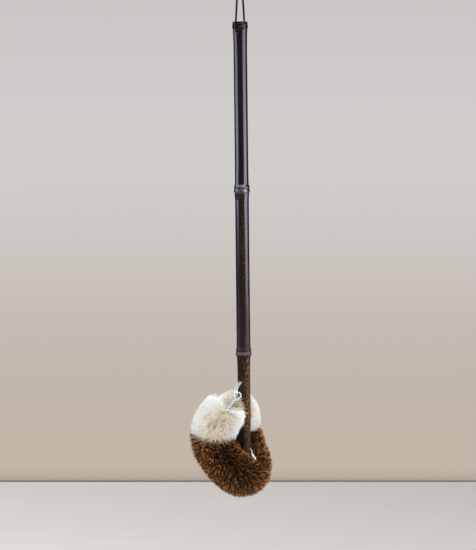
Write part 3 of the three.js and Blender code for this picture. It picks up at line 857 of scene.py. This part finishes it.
def bamboo_material():
    made = new_material(
        "black_bamboo", (0.02, 0.012, 0.008), 0.25, Specular_Tint=(0.80, 0.80, 1.0, 1),
    )
    n = Nodes(made)
    height, across = n.part("Z"), n.part("X")
    ageing = n.span(height, *AGEING)
    below_last = n.span(height, *BELOW_LAST_NODE)
    # More gold to the right below the last node: the bamboo's own flecks together with painted
    # light on its right side.
    lit_bare_patch = n.math("MULTIPLY", below_last, n.span(across, *LIT_PATCH_ACROSS))
    stripe = n.math("MULTIPLY", n.span(height, *STRIPE_STARTS), n.span(height, *STRIPE_ENDS))
    off_centre = n.math("ABSOLUTE", n.math("SUBTRACT", across, STRIPE_MIDDLE))
    stripe = n.math("MULTIPLY", stripe, n.span(off_centre, *STRIPE_HALF))
    bare_and_lit = n.math("MAXIMUM", lit_bare_patch, stripe)
    blotch = n.noise(170, (1, 1, 0.35), 6, 0.68)
    speck = n.noise(1000, (1, 1, 0.6), 5, 0.7)
    streak = n.noise(900, (1, 1, 0.02), 3, 0.6)
    brown_at = n.math("SUBTRACT", 0.62, n.math("MULTIPLY", ageing, 0.22))
    brown = n.math("MULTIPLY", n.math("SUBTRACT", blotch, brown_at), 6.0, True)
    gold_at = n.math("SUBTRACT", 0.76, n.math("MULTIPLY", ageing, 0.12))
    gold_at = n.math("SUBTRACT", gold_at, n.math("MULTIPLY", bare_and_lit, 0.125))
    gold = n.math("MULTIPLY", n.math("SUBTRACT", speck, gold_at), 13.0, True)
    color = n.mix(brown, (0.007, 0.005, 0.005), (0.034, 0.016, 0.008))
    color = n.mix(n.math("MULTIPLY", bare_and_lit, 0.8), color, (0.016, 0.008, 0.003))
    streaked = n.math("MULTIPLY", streak, n.math("MULTIPLY", ageing, 0.2))
    color = n.mix(streaked, color, (0.028, 0.015, 0.007))
    color = n.mix(gold, color, (0.31, 0.180, 0.062))
    color = n.mix(n.span(height, *SHADED_FOOT, 0.0, 0.7), color, (0.014, 0.007, 0.003))
    # A pale band on the lowest node's ridge: a painted highlight.
    painted_ridge_highlight = n.math("MULTIPLY", n.span(height, *HIGHLIGHT_RIDGE_ABOVE), n.span(height, *HIGHLIGHT_RIDGE_BELOW))
    color = n.mix(n.math("MULTIPLY", painted_ridge_highlight, 0.4), color, (0.13, 0.100, 0.090))
    for place, radius, pale in SHEATH_SCARS:
        apart = n.add("VectorMath")
        apart.operation = "DISTANCE"
        n.put(apart.inputs[0], n.place())
        apart.inputs[1].default_value = [MM * value for value in place]
        rough_edge = n.math("MULTIPLY", n.math("SUBTRACT", speck, 0.5), SCAR_EDGE)
        distance = n.math("ADD", apart.outputs["Value"], rough_edge)
        color = n.mix(n.span(distance, MM * radius, MM * radius * 0.5), color, pale)
    n.put(n.shader.inputs["Base Color"], color)
    rough = n.math("ADD", n.span(height, *CULM_ROUGHNESS), n.math("MULTIPLY", blotch, 0.08))
    shine = n.math("ADD", n.span(height, *UPPER_SHINE), n.span(height, *LOWER_SHINE))
    shine = n.math("ADD", shine, n.span(height, *RIM_SHINE))
    shine = n.math("SUBTRACT", shine, n.math("MULTIPLY", below_last, 0.17))
    n.put(n.shader.inputs["Specular IOR Level"], shine)
    n.put(n.shader.inputs["Roughness"], rough)
    n.bump(n.math("ADD", streak, n.math("MULTIPLY", speck, 0.5)), 0.00010, 0.4)
    return made


def cut_bamboo_material():
    made = new_material("cut_bamboo", (0.12, 0.08, 0.045), 0.7)
    n = Nodes(made)
    grain = n.noise(1500, (1, 1, 0.15), 4)
    n.put(n.shader.inputs["Base Color"], n.mix(grain, (0.055, 0.034, 0.018), (0.17, 0.115, 0.062)))
    n.bump(grain, 0.0003, 0.6)
    return made


def culm_profile():
    """Depths and radii of the culm's outside, its steps rounded by a weighted mean."""
    depths = [depth for depth, _ in CULM_OUTLINE]
    radii = [radius for _, radius in CULM_OUTLINE]
    fine = [np.append(np.arange(0, HANDLE_LENGTH, RING_STEP), HANDLE_LENGTH)]
    for node in NODE_DEPTHS:
        fine.append(np.arange(max(node - NODE_REACH, 0), node + NODE_REACH, RING_STEP_AT_NODE))
    depth = np.unique(np.round(np.concatenate(fine), 2))
    wide = np.interp(depth, depths, radii)
    soft = np.zeros_like(wide)
    for shift, weight in ROUNDING:
        soft += weight * np.interp(depth + shift, depths, radii)
    soft /= sum(weight for _, weight in ROUNDING)
    return depth, np.where(depth < ROUNDING[-1][0], wide, soft)


def groove_at(depth, angles):
    """How deep the groove is at angles round the culm."""
    from_node = min(abs(depth - node) for node in NODE_DEPTHS)
    internode = sum(depth > node for node in NODE_DEPTHS)
    apart = np.angle(np.exp(1j * (angles - math.pi * internode - GROOVE["azimuth"])))
    groove = GROOVE["deep"] * np.exp(-((apart / GROOVE["wide"]) ** 2))
    return groove * min(max(from_node - GROOVE["clear_of_node"], 0) / GROOVE["grows_over"], 1)


def bamboo_handle():
    sides = CULM_SIDES
    depth, radius = culm_profile()
    angles = TURN * np.arange(sides) / sides

    def ring(wide, d):
        return np.stack([wide * np.cos(angles), wide * np.sin(angles), np.full(sides, -d)], axis=1)

    rings = []
    for d, r in zip(depth, radius):
        oval = OVALNESS * np.cos(2 * angles + OVAL_TWIST * d)
        wide = r + oval - groove_at(d, angles)
        rings.append(ring(wide, d))
    inside = [(CAVITY_RADIUS, HANDLE_LENGTH)]
    for node in reversed(NODE_DEPTHS):
        half = DIAPHRAGM / 2
        inside += [(CAVITY_RADIUS, node + half), (VENT_RADIUS, node + half)]
        inside += [(VENT_RADIUS, node - half), (CAVITY_RADIUS, node - half)]
    inside.append((CAVITY_RADIUS, 0.0))
    rings += [ring(r, d) for r, d in inside]
    faces, slots = [], []
    for i in range(len(rings)):
        a, b = i * sides, (i + 1) % len(rings) * sides
        faces += [[a + j, b + j, b + (j + 1) % sides, a + (j + 1) % sides] for j in range(sides)]
        slots += [0 if i < len(depth) - 1 else 1] * sides
    vertices = np.concatenate(rings) @ CULM_TURN.T + RIM_CENTRE
    materials = [bamboo_material(), cut_bamboo_material()]
    made = mesh_object("bamboo_culm", vertices, faces, materials, slots)
    for hole in (CORD_HOLE, UPPER_TIE_HOLE, LOWER_TIE_HOLE):
        cut_hole(made, **hole)
    made.data.polygons.foreach_set("use_smooth", np.ones(len(made.data.polygons), dtype=bool))
    made.data.set_sharp_from_angle(angle=SHARP_EDGE)
    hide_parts("bamboo_handle")
    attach(made, "brush")


def cut_hole(culm, depth, radius, azimuth):
    """A straight hole right across the culm with a small countersink at each mouth."""
    surface = float(np.interp(depth, *zip(*CULM_OUTLINE)))
    mouth = radius + COUNTERSINK
    half = [
        (radius, surface - COUNTERSINK), (mouth, surface),
        (mouth + HOLE_FLARE, surface + HOLE_FLARE),
    ]
    outline = [(r, -h) for r, h in reversed(half)] + half
    out = CULM_TURN @ facing(azimuth)
    up = CULM_TURN @ np.array((0, 0, 1.0))
    side = np.cross(out, up)
    centre = on_handle(depth)
    vertices = []
    for r, h in outline:
        for j in range(HOLE_SIDES):
            turned = TURN * j / HOLE_SIDES
            away = math.cos(turned) * side + math.sin(turned) * up
            vertices.append(centre + out * h + r * away)
    faces = tube_faces(len(outline), HOLE_SIDES)
    cutter = mesh_object("cutter", vertices, faces, [culm.data.materials[1]])
    tool = bmesh.new()
    tool.from_mesh(cutter.data)
    bmesh.ops.recalc_face_normals(tool, faces=tool.faces)
    tool.to_mesh(cutter.data)
    tool.free()
    cut = culm.modifiers.new("hole", "BOOLEAN")
    cut.operation = "DIFFERENCE"
    cut.solver = "EXACT"
    cut.material_mode = "TRANSFER"
    cut.object = cutter
    bpy.context.view_layer.update()
    seen = culm.evaluated_get(bpy.context.evaluated_depsgraph_get())
    data = bpy.data.meshes.new_from_object(seen)
    culm.modifiers.clear()
    culm.data = data
    bpy.data.objects.remove(cutter)


# ---- knot ------------------------------------------------------------------------------------

# A trefoil's size and depth in mm, how much it is narrowed and drawn out, and its cut ends.
KNOT_SIZE = 0.62
KNOT_DEPTH = 1.15
KNOT_STRETCH = (0.8, 1.2)
KNOT_STEPS = 40
KNOT_HEAD = [(-3.0, -0.2, -7.0), (-2.4, -0.4, -4.6), (-1.4, -0.3, -2.2)]
KNOT_TAIL = [(1.4, -0.2, -2.2), (2.6, -0.3, -4.4), (3.0, 0.2, -7.0)]


def cord_knot():
    """An overhand knot in the cord's two ends, with both cut ends hanging out."""
    beside = {height: out for out, height in CORD_HALF}[KNOT_HEIGHT]
    centre = in_cord_plane(-beside, KNOT_HEIGHT)
    wider, taller = KNOT_STRETCH
    points = []
    for i in range(KNOT_STEPS):
        t = TURN * i / KNOT_STEPS
        x = KNOT_SIZE * (math.sin(t) + 2 * math.sin(2 * t))
        y = KNOT_SIZE * (math.cos(t) - 2 * math.cos(2 * t))
        z = -KNOT_DEPTH * math.sin(3 * t)
        points.append(centre + np.array((x * wider, z, y * taller)))
    head, tail = ([centre + np.array(p) for p in end] for end in (KNOT_HEAD, KNOT_TAIL))
    made = rod("cord_end_knot", [*head, *points, *tail], CORD_RADIUS, CORD)
    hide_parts("cord_knot")
    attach(made, "hanging_loop")
    return made


knot = cord_knot()
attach(cord, "hanging_loop")
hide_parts("hanging_cord")
core_wire()
upper_tie_wire()
lower_tie_wire()
bamboo_handle()
fibres()


# ---- table, backdrop and lights --------------------------------------------------------------

# How strongly the backdrop lights things. The camera sees it at full strength.
AMBIENT = 0.07
# The backdrop lies between two upward parts of the direction of view. Its list holds the share
# of the way up from the table's far edge, and the colour there.
BACKDROP_LOW = -0.1285
BACKDROP_HIGH = -0.0320
# The first stops, darker just above the table's far edge, are painted shade at the foot of the
# wall.
BACKDROP = [
    (0.0, (0.33, 0.275, 0.24)), (0.012, (0.48, 0.395, 0.335)), (0.03, (0.545, 0.467, 0.39)),
    (0.17, (0.533, 0.468, 0.40)), (0.33, (0.557, 0.50, 0.46)), (0.5, (0.604, 0.57, 0.545)),
    (0.62, (0.634, 0.607, 0.587)), (0.78, (0.634, 0.607, 0.60)), (1.0, (0.59, 0.565, 0.558)),
]
FLOOR_Z = -0.6978
FLOOR_NEAR = -1.6
FLOOR_FAR = 1.051
FLOOR_SIDE = 1.8
# Top of the thin dark strip at the table's far edge, which is painted shadow.
EDGE_SHADOW_TOP = FLOOR_Z + 0.002


def flat_piece(name, corners, made):
    """One four-sided face of the surroundings, with its corners in metres."""
    data = bpy.data.meshes.new(name)
    data.from_pydata(corners, [], [(0, 1, 2, 3)])
    data.materials.append(made)
    piece = bpy.data.objects.new(name, data)
    bpy.context.collection.objects.link(piece)


def table():
    """A pale table top, darker to the right as painted shade, with a thin dark line of painted
    shadow along its far edge.
    """
    surface = new_material("pale_table", (0.636, 0.612, 0.574), 0.7, Specular_IOR_Level=0.2)
    n = Nodes(surface)
    grain = n.mix(n.noise(9, (1, 7, 1), 4), (0.589, 0.561, 0.523), (0.683, 0.662, 0.624))
    # Darker towards the right: painted shade.
    painted_shade_to_right = n.span(n.part("X"), -0.3, 0.3, 0.0, 0.8)
    n.put(n.shader.inputs["Base Color"], n.mix(painted_shade_to_right, grain, (0.507, 0.481, 0.449)))
    near = [(side, FLOOR_NEAR, FLOOR_Z) for side in (-FLOOR_SIDE, FLOOR_SIDE)]
    far = [(side, FLOOR_FAR, FLOOR_Z) for side in (FLOOR_SIDE, -FLOOR_SIDE)]
    above = [(side, FLOOR_FAR, EDGE_SHADOW_TOP) for side in (FLOOR_SIDE, -FLOOR_SIDE)]
    flat_piece("table_top", [*near, *far], surface)
    # A thin dark strip standing at the table's far edge: painted shadow where the table meets the
    # wall.
    edge_shadow = new_material("table_edge_shadow", (0.13, 0.10, 0.08), 0.8)
    flat_piece("table_edge_shadow", [*far[::-1], *above], edge_shadow)


def backdrop():
    """The world: a gradient upwards that the camera sees, and a weak light of the same colours."""
    made = bpy.data.worlds.new("studio")
    made.use_nodes = True
    tree = made.node_tree
    shade = tree.nodes["Background"]
    direction = tree.nodes.new("ShaderNodeTexCoord").outputs["Generated"]
    split = tree.nodes.new("ShaderNodeSeparateXYZ")
    tree.links.new(direction, split.inputs[0])
    ramp = tree.nodes.new("ShaderNodeValToRGB")
    spread = tree.nodes.new("ShaderNodeMapRange")
    spread.inputs["From Min"].default_value = BACKDROP_LOW
    spread.inputs["From Max"].default_value = BACKDROP_HIGH
    tree.links.new(split.outputs["Z"], spread.inputs["Value"])
    tree.links.new(spread.outputs["Result"], ramp.inputs["Fac"])
    stops = ramp.color_ramp.elements
    while len(stops) < len(BACKDROP):
        stops.new(0.5)
    for stop, (place, color) in zip(stops, BACKDROP):
        stop.position = place
        stop.color = (*color, 1)
    tree.links.new(ramp.outputs["Color"], shade.inputs["Color"])
    seen = tree.nodes.new("ShaderNodeLightPath").outputs["Is Camera Ray"]
    strength = tree.nodes.new("ShaderNodeMapRange")
    strength.inputs["To Min"].default_value = AMBIENT
    strength.inputs["To Max"].default_value = 1.0
    tree.links.new(seen, strength.inputs["Value"])
    tree.links.new(strength.outputs["Result"], shade.inputs["Strength"])
    bpy.context.scene.world = made


SOFTBOX_DISTANCE = 1.3
SOFTBOX_TALL = 1.1
SKY_WIDTH = math.radians(60)


def softbox(name, azimuth, wide, height, power, color):
    """A rectangular light that faces the handle. Azimuth 0 is at the camera, + to the right."""
    data = bpy.data.lights.new(name, "AREA")
    data.shape = "RECTANGLE"
    data.size = wide
    data.size_y = SOFTBOX_TALL
    data.energy = power
    data.color = color
    made = bpy.data.objects.new(name, data)
    turned = math.radians(azimuth)
    right, near = math.sin(turned) * SOFTBOX_DISTANCE, math.cos(turned) * SOFTBOX_DISTANCE
    place = Vector((right, -near, height))
    made.location = place
    aim = Vector((0, 0, height)) - place
    made.rotation_euler = aim.to_track_quat("-Z", "Z").to_euler()
    bpy.context.collection.objects.link(made)


def sky_light(name, elevation, azimuth, strength, color):
    """A soft far light. Azimuth 0 is at the camera, + to the right."""
    data = bpy.data.lights.new(name, "SUN")
    data.energy = strength
    data.angle = SKY_WIDTH
    data.color = color
    made = bpy.data.objects.new(name, data)
    turned, raised = math.radians(azimuth), math.radians(elevation)
    right, near = math.sin(turned) * math.cos(raised), math.cos(turned) * math.cos(raised)
    away = Vector((right, -near, math.sin(raised)))
    made.rotation_euler = away.to_track_quat("Z", "Y").to_euler()
    bpy.context.collection.objects.link(made)


table()
backdrop()
sky_light("window_sky", elevation=50, azimuth=-40, strength=1.7, color=(1.0, 0.995, 0.99))
sky_light("room_sky", elevation=46, azimuth=15, strength=1.15, color=(1.0, 0.99, 0.98))
softbox("left_softbox", azimuth=-84, wide=1.5, height=0.34, power=19, color=(0.84, 0.90, 1.0))
softbox("right_softbox", azimuth=56, wide=3.0, height=0.20, power=49, color=(0.95, 0.94, 1.0))
bpy.context.scene.view_settings.view_transform = "Standard"
